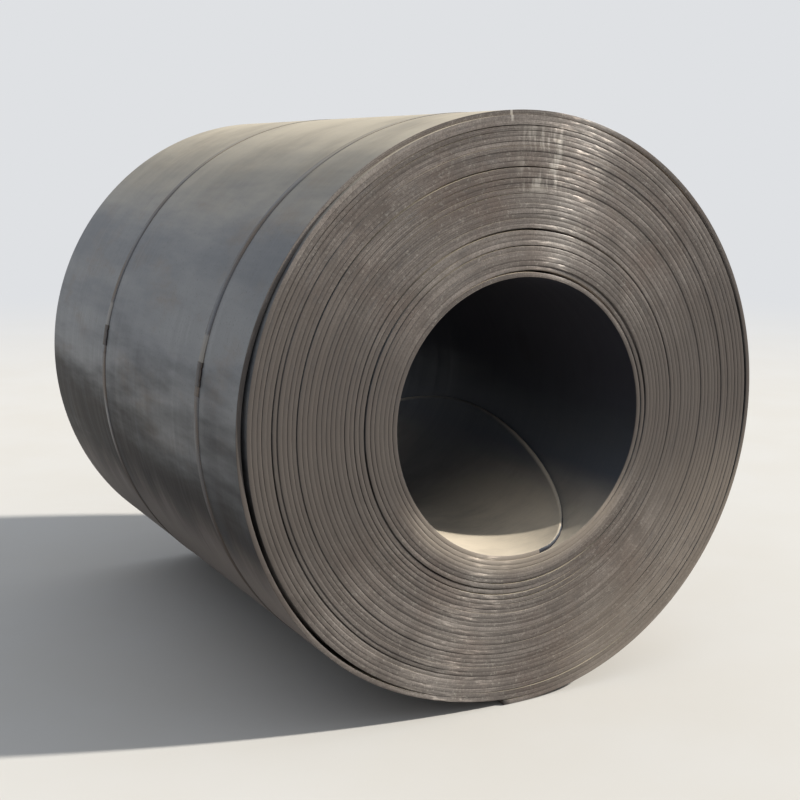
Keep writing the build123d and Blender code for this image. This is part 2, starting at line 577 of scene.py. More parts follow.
@dataclass(frozen=True)
class StrapSteel:
    """Waxed steel strap, dull and stained brown.

    Attributes:
        name: the material's name.
        blue: the strap's own tone.
        brown: the stain on it.
        worn: where it is rubbed.
        dust_and_light: the pale cream where dust lies on its top, partly painted sunlight.
        gloss: how rough it is.
        gripped: clock angles between which a tool has rubbed it.
        grip_edge: how softly that stretch ends.
    """

    name: str = "strap_steel"
    blue: Colour = paint("565960")
    brown: Colour = paint("6d6157")
    worn: Colour = paint("8d8a85")
    dust_and_light: Colour = paint("c4b9a4")
    gloss: float = 0.4
    gripped: Span | None = None
    grip_edge: float = 0.01

    def rubbed(self, s: Shader, stain: Socket, gripped: Span) -> Socket:
        """How far the tool has rubbed the strap.

        Args:
            s: the material.
            stain: noise of the stain.
            gripped: clock angles between which it was gripped.

        Returns:
            The share that is worn.
        """
        run = s.part(s.wind(), "X")
        start, end = (math.radians(clock) * Winding.coil_radius for clock in gripped)
        return s.times(s.band(run, start - self.grip_edge, start),
                       s.band(run, end, end + self.grip_edge, 1.0, 0.0),
                       s.band(stain, 0.3, 0.6, 0.3, 0.8))

    def material(self) -> Material:
        """Make the material.

        Returns:
            The material.
        """
        s = Shader(self.name)
        wind, up = s.wind(), s.looks_up()
        stain = s.noise(wind, scale=(5.0, 30.0, 1.0), detail=5.0, rough=0.6)
        drawn = s.noise(wind, scale=(4.0, 700.0, 1.0))
        grain = s.noise(s.place(), scale=300.0)
        # Dust on the strap's top, partly painted sunlight there.
        dust_and_light_share = s.band(s.maths("ADD", up, s.times(stain, 0.3)), 0.78, 1.2, 0.0, 0.9)
        facing_down = s.band(up, -0.5, -0.05, 0.85, 0.0)
        colour = s.mix(s.band(stain, 0.4, 0.64), self.blue, self.brown)
        colour = s.mix(s.band(drawn, 0.52, 0.72, 0.0, 0.45), colour, self.worn)
        colour = s.mix(s.band(grain, 0.35, 0.65, 0.0, 0.35), colour, self.blue, "MULTIPLY")
        if self.gripped is not None:
            colour = s.mix(self.rubbed(s, stain, self.gripped), colour, self.worn)
        colour = s.mix(dust_and_light_share, colour, self.dust_and_light)
        colour = s.mix(facing_down, colour, self.brown)
        gloss = s.band(stain, 0.35, 0.65, self.gloss, self.gloss + 0.2)
        gloss = s.maths("ADD", gloss, s.times(facing_down, 0.2))
        return s.surface(Base_Color=colour, Roughness=gloss, Normal=s.bump(drawn, 0.3 * MM, 0.4),
                         Metallic=s.band(facing_down, 0.0, 0.85, 0.6, 0.0),
                         Specular_IOR_Level=s.band(facing_down, 0.0, 0.85, 0.5, 0.12))


@dataclass(frozen=True)
class Parting:
    """A place where two turns have sprung apart.

    Attributes:
        turn: the turn on the inner side of the gap, counted from 0 at the bore.
        width: how wide the gap is at its middle.
        clock: where its middle is.
        reach: clock angle from there to where it has closed.
        fade: how much of that reach it takes to close.
    """

    turn: int
    width: float
    clock: float
    reach: float
    fade: float = 40.0


@dataclass(frozen=True)
class Recess:
    """A stretch of one turn's edge that lies further back than its neighbours.

    Attributes:
        turn: the turn, counted from 0 at the bore.
        depth: how far back it lies at its middle.
        clock: where its middle is.
        reach: clock angle from there to where it is level again.
        slope: share of that reach in which it comes level.
    """

    turn: int
    depth: float
    clock: float
    reach: float
    slope: float = 0.6


@dataclass
class EndFace:
    """How the turns lie at one end of the coil.

    Attributes:
        dish: how far the outermost turn lies back from the innermost.
        step: how far a turn's edge strays from its neighbours'.
        flush: share of the turns that lie level with the one inside them.
        sway: how far an edge wanders along one turn.
        corner: smallest and largest radius of the edges' rounded corners.
        partings: the open gaps.
        recesses: the edges that lie further back.
        seed: what its random draws start from.
        margin: least that any edge lies back from the coil's end plane.
    """

    dish: float
    step: float
    flush: float
    sway: float
    corner: Span
    partings: tuple[Parting, ...]
    recesses: tuple[Recess, ...]
    seed: int
    margin: float = 0.4 * MM


@dataclass
class Winding:
    """The strip's course from its inner end to its outer end.

    Attributes:
        bore_radius: inner face of the first turn.
        coil_radius: outer face of the last turn.
        axis_height: the axis above the floor.
        half_width: half the strip's width.
        thickness: the strip's thickness.
        turns: how many times it goes round.
        stations: places at which one turn is worked out.
        head_clock: where the strip's inner end starts.
        tail_clock: where its outer end is.
        first_climb: travel in the first turn in which it climbs onto the next.
        last_climb: the same in the turn before the last.
        tongue_step: strip from one station to the next on the tongue.
        ends: how the turns lie at the near and the far end.
    """

    bore_radius: float = 0.381
    coil_radius: float = 0.813
    axis_height: float = 0.814
    half_width: float = 0.9
    thickness: float = 12.7 * MM
    turns: int = 32
    stations: int = 224
    head_clock: float = 10.0
    tail_clock: float = -3.0
    first_climb: Span = (225.0, 360.0)
    last_climb: Span = (373.0, 423.0)
    tongue_step: float = 0.0107
    ends: tuple[EndFace, EndFace] = field(default_factory=lambda: (near_face(), far_face()))

    def __post_init__(self) -> None:
        """Work out the tables that every piece of the strip reads."""
        self.radii = [self.turn_radii(face) for face in self.ends]
        self.setbacks = [self.edge_setbacks(face) for face in self.ends]
        self.corners = [self.edge_corners(face) for face in self.ends]
        every = np.arange(self.stations * (self.turns + 1))
        step = np.radians(FULL_TURN / self.stations)
        lengths = np.cumsum(self.read(self.radii[0], every) * step)
        self.lengths = np.concatenate([[0.0], lengths[:-1]])

    @property
    def last_station(self) -> int:
        """The station nearest to the strip's outer end."""
        travel = FULL_TURN * self.turns + self.head_clock - self.tail_clock
        return round(travel / FULL_TURN * self.stations)

    def travel(self, station: np.ndarray) -> np.ndarray:
        """Degrees travelled from the inner end."""
        return station * FULL_TURN / self.stations

    def clock(self, station: np.ndarray) -> np.ndarray:
        """Clock angle of a station."""
        return self.head_clock - self.travel(station)

    def level(self, station: np.ndarray) -> np.ndarray:
        """How many turns the strip has climbed, in whole steps with a short climb between.

        Args:
            station: where along the strip, in stations.

        Returns:
            The level, 0 at the bore.
        """
        travel = np.asarray(self.travel(station), float)
        total = np.zeros_like(travel)
        for climb in range(self.turns - 1):
            share = climb / (self.turns - 2)
            start = self.first_climb[0] + share * (self.last_climb[0] - self.first_climb[0])
            end = self.first_climb[1] + share * (self.last_climb[1] - self.first_climb[1])
            total += smooth_step((travel - FULL_TURN * climb - start) / (end - start))
        return total

    def turn_radii(self, face: EndFace) -> np.ndarray:
        """Inner radius of each turn round the clock, at one end.

        The air between the turns adds up to the same everywhere: where one gap opens,
        the others close.

        Args:
            face: the end.

        Returns:
            One row for each turn, one column for each station.
        """
        clock = self.clock(np.arange(self.stations))
        draw = np.random.default_rng(face.seed)
        air = self.coil_radius - self.bore_radius - self.turns * self.thickness
        gaps = np.zeros((self.turns - 1, self.stations))
        for parting in face.partings:
            gaps[parting.turn] += parting.width * swell(clock, parting.clock, parting.reach, parting.fade)
        # Air that open gaps never take up, the least and the widest plain gap, and how they vary
        kept_back, least, widest, rarity, drift = 0.1, 0.05, 4, 5, 0.2
        slack = np.maximum(air - gaps.sum(axis=0), kept_back * air)
        share = least + widest * draw.uniform(0, 1, (self.turns - 1, 1)) ** rarity
        share = np.maximum(share + wander(draw, clock, self.turns - 1, drift), least)
        gaps += slack * share / share.sum(axis=0)
        climbed = np.vstack([np.zeros(self.stations), np.cumsum(gaps, axis=0)])
        return self.bore_radius + self.thickness * np.arange(self.turns)[:, None] + climbed

    def edge_setbacks(self, face: EndFace) -> np.ndarray:
        """How far each turn's edge lies inside the coil's end plane.

        Args:
            face: the end.

        Returns:
            One row for each turn, one column for each station.
        """
        clock = self.clock(np.arange(self.stations))
        draw = np.random.default_rng(face.seed + 1)
        row = np.arange(self.turns)[:, None]
        stray = draw.uniform(0, 1, (self.turns, 1))
        level_with_last = draw.uniform(0, 1, self.turns) < face.flush
        for turn in range(1, self.turns):
            if level_with_last[turn]:
                stray[turn] = stray[turn - 1]
        back = face.dish * row / (self.turns - 1) + face.step * stray
        back = back + wander(draw, clock, self.turns, face.sway)
        for recess in face.recesses:
            fade = recess.slope * recess.reach
            back[recess.turn] += recess.depth * swell(clock, recess.clock, recess.reach, fade)
        return np.maximum(back, 0.0) + face.margin

    def edge_corners(self, face: EndFace) -> np.ndarray:
        """Radius of the rounded corners along each turn's edge.

        Args:
            face: the end.

        Returns:
            One row for each turn, one column for each station.
        """
        clock = self.clock(np.arange(self.stations))
        draw = np.random.default_rng(face.seed + 2)
        rarity, drift = 3, 0.12
        share = draw.uniform(0, 1, (self.turns, 1)) ** rarity + wander(draw, clock, self.turns, drift)
        tight, wide = face.corner
        return tight + (wide - tight) * np.clip(share, 0, 1)

    def read(self, table: np.ndarray, station: np.ndarray) -> np.ndarray:
        """Read a table of turns by clock at places along the strip.

        Args:
            table: one row for each turn, one column for each station.
            station: places along the strip, in stations.

        Returns:
            One value for each place.
        """
        level = np.minimum(self.level(station), self.turns - 1)
        row = np.minimum(level.astype(int), self.turns - 2)
        column = np.floor(station).astype(int)
        part = station - column
        low, high = column % self.stations, (column + 1) % self.stations
        inner = table[row, low] * (1 - part) + table[row, high] * part
        outer = table[row + 1, low] * (1 - part) + table[row + 1, high] * part
        return inner + (outer - inner) * (level - row)

    def run(self, station: np.ndarray) -> np.ndarray:
        """Metres of strip from where its inner end starts to a station, below 0 on the tongue."""
        ahead = np.minimum(station, 0.0) * self.tongue_step
        return ahead + np.interp(station, np.arange(len(self.lengths)), self.lengths)

    def outer_radius(self, clock: np.ndarray, along: float) -> np.ndarray:
        """Radius of the coil's outside, the last turn's face.

        Args:
            clock: clock angles in degrees.
            along: place along the axis.

        Returns:
            One radius for each clock angle.
        """
        behind = (clock - self.tail_clock) % FULL_TURN
        station = self.last_station - behind * self.stations / FULL_TURN
        share = (along / self.half_width + 1) / 2
        near, far = (self.read(table, station) for table in self.radii)
        return near + (far - near) * share + self.thickness - flatness(self.run(station), along)


def wander(draw: np.random.Generator, clock: np.ndarray, rows: int, size: float) -> np.ndarray:
    """Slow random waves round the clock, other ones for each row.

    Args:
        draw: where the random numbers come from.
        clock: clock angles in degrees.
        rows: how many rows to make.
        size: how far they swing, about.

    Returns:
        One row of values for each.
    """
    waves, smoother, usual_swing = 5, 0.7, 1.6
    total = np.zeros((rows, len(clock)))
    for wave in range(1, waves + 1):
        phase = draw.uniform(0, 2 * math.pi, (rows, 1))
        height = draw.uniform(0.3, 1.0, (rows, 1)) / wave**smoother
        total += height * np.cos(wave * np.radians(clock)[None, :] + phase)
    return size * total / usual_swing


def flatness(run: np.ndarray, along: np.ndarray | float) -> np.ndarray:
    """How far the strip's face dips under true, in shallow waves along, across and at its edges.

    Args:
        run: metres along the strip.
        along: place across the strip.

    Returns:
        The dip, never negative.
    """
    depth = 0.15 * MM
    long_wave = np.cos(3.1 * run + 1.3 * np.sin(2.3 * along))
    edge_wave = np.cos(8.7 * run + 0.6) * (along / Winding.half_width) ** 4
    cross_wave = np.cos(5.2 * along + 0.4 * run)
    return depth * (3 + long_wave + edge_wave + cross_wave)


def near_face() -> EndFace:
    """The end that looks at the camera, with its gaps as the photo shows them."""
    return EndFace(
        dish=5 * MM,
        step=2.4 * MM,
        flush=0.45,
        sway=0.35 * MM,
        corner=(0.3 * MM, 1.6 * MM),
        partings=(
            Parting(turn=0, width=6.5 * MM, clock=130, reach=92, fade=60),
            Parting(turn=1, width=4.0 * MM, clock=105, reach=60),
            Parting(turn=6, width=3.2 * MM, clock=285, reach=95),
            Parting(turn=7, width=2.6 * MM, clock=300, reach=100),
            Parting(turn=8, width=3.2 * MM, clock=135, reach=80),
            Parting(turn=25, width=2.6 * MM, clock=300, reach=70),
            Parting(turn=30, width=9.0 * MM, clock=110, reach=72, fade=56),
            Parting(turn=30, width=11.0 * MM, clock=300, reach=76, fade=50),
        ),
        recesses=(
            Recess(turn=31, depth=13.0 * MM, clock=232, reach=62),
            Recess(turn=0, depth=2.5 * MM, clock=20, reach=60),
            Recess(turn=1, depth=3.5 * MM, clock=120, reach=90),
            Recess(turn=7, depth=3.0 * MM, clock=290, reach=110),
            Recess(turn=26, depth=2.5 * MM, clock=300, reach=80),
        ),
        seed=11,
    )


def far_face() -> EndFace:
    """The end that looks away, finished in the same way."""
    return EndFace(
        dish=6 * MM,
        step=3.0 * MM,
        flush=0.35,
        sway=0.45 * MM,
        corner=(0.4 * MM, 1.8 * MM),
        partings=(
            Parting(turn=0, width=4.0 * MM, clock=200, reach=70),
            Parting(turn=4, width=2.5 * MM, clock=60, reach=80),
            Parting(turn=12, width=4.5 * MM, clock=250, reach=90),
            Parting(turn=16, width=3.0 * MM, clock=20, reach=80),
            Parting(turn=22, width=4.0 * MM, clock=120, reach=90),
            Parting(turn=30, width=4.0 * MM, clock=60, reach=80),
        ),
        recesses=(
            Recess(turn=31, depth=5.0 * MM, clock=70, reach=90),
            Recess(turn=12, depth=4.0 * MM, clock=250, reach=120),
            Recess(turn=23, depth=3.0 * MM, clock=120, reach=90),
        ),
        seed=23,
    )


@dataclass
class MeshParts:
    """Points and faces of one piece, gathered before its mesh is made.

    Attributes:
        points: the piece's points.
        wind: each point's place on the strip.
        faces: point numbers of each face.
        finishes: which finish each face takes.
        creased: numbers of the faces whose outline is a sharp edge.
    """

    points: np.ndarray
    wind: np.ndarray
    faces: list[tuple[int, ...]]
    finishes: list[int]
    creased: list[int] = field(default_factory=list)

    @classmethod
    def tube(cls, points: np.ndarray, wind: np.ndarray, finishes: Sequence[int]) -> "MeshParts":
        """Start a piece as a tube with open ends.

        Args:
            points: its points, one row for each loop round it.
            wind: their places on the strip, in the same rows.
            finishes: the finish of the face after each point of a loop.

        Returns:
            The piece so far.
        """
        rows, columns = points.shape[:2]
        row, column = np.meshgrid(np.arange(rows - 1), np.arange(columns), indexing="ij")
        after = (column + 1) % columns
        faces = np.stack([row * columns + column, row * columns + after,
                          (row + 1) * columns + after, (row + 1) * columns + column], axis=-1)
        return cls(points.reshape(-1, 3), wind.reshape(-1, 3),
                   [tuple(face) for face in faces.reshape(-1, 4).tolist()],
                   list(finishes) * (rows - 1))

    def face(self, numbers: Iterable[int], finish: int = 0, creased: bool = False) -> None:
        """Add one face.

        Args:
            numbers: the numbers of its points, in order round it.
            finish: its finish.
            creased: whether its outline is a sharp edge.
        """
        if creased:
            self.creased.append(len(self.faces))
        self.faces.append(tuple(int(number) for number in numbers))
        self.finishes.append(finish)

    def piece(self, name: str, materials: Sequence[Material]) -> Piece:
        """Make the piece's object.

        Args:
            name: the piece's name.
            materials: its finishes, in the order that the faces number them.

        Returns:
            The object, in the scene.
        """
        mesh = bpy.data.meshes.new(name)
        mesh.from_pydata(self.points.tolist(), [], self.faces)
        mesh.polygons.foreach_set("material_index", self.finishes)
        for material in materials:
            mesh.materials.append(material)
        wind = mesh.attributes.new("wind", "FLOAT_VECTOR", "POINT")
        wind.data.foreach_set("vector", self.wind.astype(np.float32).ravel())
        form = bmesh.new()
        form.from_mesh(mesh)
        form.faces.ensure_lookup_table()
        for number in self.creased:
            for edge in form.faces[number].edges:
                edge.smooth = False
        bmesh.ops.recalc_face_normals(form, faces=form.faces)
        form.to_mesh(mesh)
        form.free()
        mesh.shade_smooth()
        return shown(name, mesh)


def shown(name: str, made: bpy.types.ID) -> Piece:
    """Put a mesh, a lamp or a camera in the scene.

    Args:
        name: the object's name.
        made: what it shows.

    Returns:
        The object.
    """
    thing = bpy.data.objects.new(name, made)
    bpy.context.scene.collection.objects.link(thing)
    return thing


@dataclass
class StripSection:
    """The strip's outline, as a loop of points round its section.

    Attributes:
        thickness: the strip's thickness.
        crown: how far the middle of its edge stands out.
        across: places across its faces, from -1 at the near edge to 1 at the far one.
        edge_points: points that the edge method lays on each edge, with its rounded corners.
    """

    thickness: float
    crown: float
    across: np.ndarray
    edge_points: int = 7

    @property
    def columns(self) -> int:
        """Points in the whole loop."""
        return 2 * (self.edge_points + len(self.across))

    @property
    def outer_face(self) -> slice:
        """Where the points across the outer face are in the loop, from the near edge."""
        return slice(self.edge_points, self.edge_points + len(self.across))

    def edge(self, corner: np.ndarray) -> tuple[np.ndarray, np.ndarray]:
        """One edge of the strip at each row, from its inner face to its outer.

        Args:
            corner: radius of the rounded corners at each row.

        Returns:
            Depth behind the edge's plane, and height above the inner face.
        """
        corner = corner[:, None]
        bevel, none, top = corner * (1 - math.sqrt(0.5)), 0 * corner, self.thickness
        depth = [corner, bevel, none, none - self.crown, none, bevel, corner]
        height = [none, bevel, corner, none + top / 2, top - corner, top - bevel, none + top]
        return np.hstack(depth), np.hstack(height)

    def loop(self, planes: Sequence[np.ndarray],
             corners: Sequence[np.ndarray]) -> tuple[np.ndarray, np.ndarray]:
        """Place across the coil and height above the inner face, all round the loop.

        Args:
            planes: where the near and the far edge's planes are at each row.
            corners: radius of the rounded corners of each edge.

        Returns:
            Both, with one row for each of the rows asked for.
        """
        near, far = (plane[:, None] for plane in planes)
        face = (near + far) / 2 + (far - near) / 2 * self.across[None, :]
        near_depth, near_height = self.edge(corners[0])
        far_depth, far_height = self.edge(corners[1])
        flat = np.ones_like(face)
        along = np.hstack([near + near_depth, face, far - far_depth[:, ::-1], face[:, ::-1]])
        above = np.hstack([near_height, flat * self.thickness, far_height[:, ::-1], flat * 0])
        return along, above

    def finishes(self) -> list[int]:
        """Which finish the face after each point of the loop takes."""
        edge, face = self.edge_points - 1, len(self.across) + 1
        return ([Finish.EDGE.value] * edge + [Finish.SKIN.value] * face) * 2


@dataclass
class Coil:
    """The wound strip, in three lengths: its inner turn, the turns between and its outer turn.

    Attributes:
        winding: the strip's course.
        tongue_length: how far the rounded inner end reaches on, square to the strip.
        tongue_gap: air between the tongue's outer face and the turn that it lies on.
        crown: how far the middle of the strip's edge stands out.
        end_bulge: how far the middle of its two ends stands out.
        face_rows: rows of points across the strip's face, where it shows.
        support: how far inside an edge the first of those rows lies.
        overlap: stations by which a length starts under the one before it.
        straightened: stations in which rows come back square to the strip after the tongue.
        tongue_shares: place of the rows from the tongue's edge to there, from 0 to 1.
    """

    winding: Winding
    tongue_length: float = 0.330
    tongue_gap: float = 0.3 * MM
    crown: float = 0.3 * MM
    end_bulge: float = 1.5 * MM
    face_rows: int = 36
    support: float = 4 * MM
    overlap: int = 10
    straightened: int = 14
    tongue_shares: tuple[float, ...] = (0.0, 0.03, *np.linspace(0.08, 1.0, 30).tolist())

    def section(self, across: np.ndarray) -> StripSection:
        """The strip's outline with points across its faces."""
        return StripSection(self.winding.thickness, self.crown, across)

    def seen_section(self) -> StripSection:
        """The same where its faces show, with points closer together towards both edges."""
        spread = -np.cos(np.linspace(0, math.pi, self.face_rows))
        return self.section(spread * (1 - self.support / self.winding.half_width))

    def lay(self, section: StripSection, station: np.ndarray) -> tuple[np.ndarray, np.ndarray]:
        """Put the strip's outline at places along its course.

        Args:
            section: the outline.
            station: the places, one row for each, one column or one for each point.

        Returns:
            The points, and their places on the strip.
        """
        course = self.winding
        rows, columns = len(station), section.columns
        station = np.broadcast_to(station.reshape(rows, -1), (rows, columns))
        near_back, far_back = (course.read(table, station[:, 0]) for table in course.setbacks)
        planes = (near_back - course.half_width, course.half_width - far_back)
        corners = [course.read(table, station[:, 0]) for table in course.corners]
        along, above = section.loop(planes, corners)
        share = (along / course.half_width + 1) / 2
        near, far = (course.read(table, station) for table in course.radii)
        run = course.run(station)
        radius = near + (far - near) * share + above - flatness(run, along)
        points = on_coil(course.clock(station), radius, along, course.axis_height)
        return points, np.stack([run, along, above], axis=-1)

    def close_flat(self, parts: MeshParts, section: StripSection, row: int) -> None:
        """Close the strip at one of its rows with a flat face, where another length hides it."""
        first = row * section.columns
        parts.face(range(first, first + section.columns), Finish.EDGE.value, creased=True)

    def close_round(self, parts: MeshParts, section: StripSection, row: int, inwards: int,
                    finish: Finish = Finish.EDGE) -> None:
        """Close one end of the strip with a rounded edge, from its inner face to its outer.

        Args:
            parts: the piece so far.
            section: the outline.
            row: the row of points to close.
            inwards: 1 where the strip goes on after that row, -1 where it comes before.
            finish: what finish the end takes.
        """
        edge, count, columns = section.edge_points, len(section.across), section.columns
        first = row * columns
        outer = first + edge + np.arange(count)
        inner = first + columns - 1 - np.arange(count)
        middle = len(parts.points) + np.arange(count)
        outwards = parts.points[outer] - parts.points[outer + inwards * columns]
        outwards /= np.maximum(np.linalg.norm(outwards, axis=-1, keepdims=True), 1e-9)
        halfway = (parts.points[outer] + parts.points[inner]) / 2 + self.end_bulge * outwards
        parts.points = np.vstack([parts.points, halfway])
        parts.wind = np.vstack([parts.wind, (parts.wind[outer] + parts.wind[inner]) / 2])
        for j in range(count - 1):
            parts.face((inner[j], inner[j + 1], middle[j + 1], middle[j]), finish.value)
            parts.face((middle[j], middle[j + 1], outer[j + 1], outer[j]), finish.value)
        near_edge = range(first, first + edge)
        far_edge = range(first + edge + count, first + 2 * edge + count)
        parts.face([*near_edge, outer[0], middle[0], inner[0]], finish.value)
        parts.face([*far_edge, inner[-1], middle[-1], outer[-1]], finish.value)

    def tongue(self, along: np.ndarray) -> np.ndarray:
        """How far the rounded inner end reaches back at places across the strip.

        Args:
            along: the places.

        Returns:
            The reach at each, in stations.
        """
        course = self.winding
        share = np.clip(1 - (along / course.half_width) ** 2, 0, 1)
        angle = np.degrees(np.arcsin(self.tongue_length / course.bore_radius * np.sqrt(share)))
        return angle * course.stations / FULL_TURN

    def thin_tongue(self, points: np.ndarray, wind: np.ndarray, station: np.ndarray) -> None:
        """Roll the tongue out thinner, so that it lies on the turn beneath it.

        Args:
            points: the strip's points, which are moved.
            wind: their places on the strip.
            station: their places along it, in stations.
        """
        course = self.winding
        beneath = course.read(course.radii[0], station + course.stations)
        room = beneath - course.bore_radius - self.tongue_gap
        height = wind[..., 2]
        thinner = np.where((station < 0) & (height > 0), np.minimum(height, room), height)
        clock = np.radians(course.clock(station))
        points[..., 0] -= (height - thinner) * np.sin(clock)
        points[..., 2] += (height - thinner) * np.cos(clock)

    def build_inner_turn(self, finishes: Sequence[Material]) -> Piece:
        """The first turn, with its rounded end lying in the bore.

        Args:
            finishes: the finishes of its faces and its edges.

        Returns:
            The piece.
        """
        course, section = self.winding, self.seen_section()
        reach = np.zeros(section.columns)
        back = self.tongue(section.across * course.half_width)
        reach[section.outer_face] = back
        reach[-len(back):] = back[::-1]
        share = np.array(self.tongue_shares)[:, None]
        head = -reach[None, :] + share * (reach[None, :] + self.straightened)
        body = np.arange(self.straightened + 1, course.stations + self.overlap + 1)[:, None]
        station = np.vstack([head, np.broadcast_to(body, (len(body), section.columns))])
        points, wind = self.lay(section, station)
        self.thin_tongue(points, wind, station)
        parts = MeshParts.tube(points, wind, section.finishes())
        self.close_round(parts, section, 0, 1, Finish.SKIN)
        self.close_flat(parts, section, len(station) - 1)
        return parts.piece("inner_turn", finishes)

    def build_middle_turns(self, finishes: Sequence[Material]) -> Piece:
        """The turns that show only their edges.

        Args:
            finishes: the finishes of their faces and their edges.

        Returns:
            The piece.
        """
        course, section = self.winding, self.section(np.zeros(0))
        first = course.stations + self.overlap
        last = course.last_station - course.stations - self.overlap
        parts = MeshParts.tube(*self.lay(section, np.arange(first, last + 1)[:, None]), section.finishes())
        self.close_flat(parts, section, 0)
        self.close_flat(parts, section, last - first)
        return parts.piece("middle_turns", finishes)

    def build_outer_turn(self, finishes: Sequence[Material]) -> Piece:
        """The last turn, with the strip's outer end on it.

        Args:
            finishes: the finishes of its faces and its edges.

        Returns:
            The piece.
        """
        course, section = self.winding, self.seen_section()
        last = course.last_station
        first = last - course.stations - self.overlap
        parts = MeshParts.tube(*self.lay(section, np.arange(first, last + 1)[:, None]), section.finishes())
        self.close_flat(parts, section, 0)
        self.close_round(parts, section, last - first, -1)
        return parts.piece("outer_turn", finishes)

    def build(self, skin: MillScale, bore: MillScale, rim: MillEdge) -> list[Piece]:
        """Build and dress the whole strip.

        Args:
            skin: the finish of its faces.
            bore: the same inside the bore.
            rim: the finish of its edges.

        Returns:
            Its three lengths.
        """
        rim_steel = rim.material()
        outside = (skin.material(), rim_steel)
        lengths = (self.build_inner_turn((bore.material(), rim_steel)),
                   self.build_middle_turns(outside), self.build_outer_turn(outside))
        return [seat(length, "mill_scale_strip", "coil") for length in lengths]


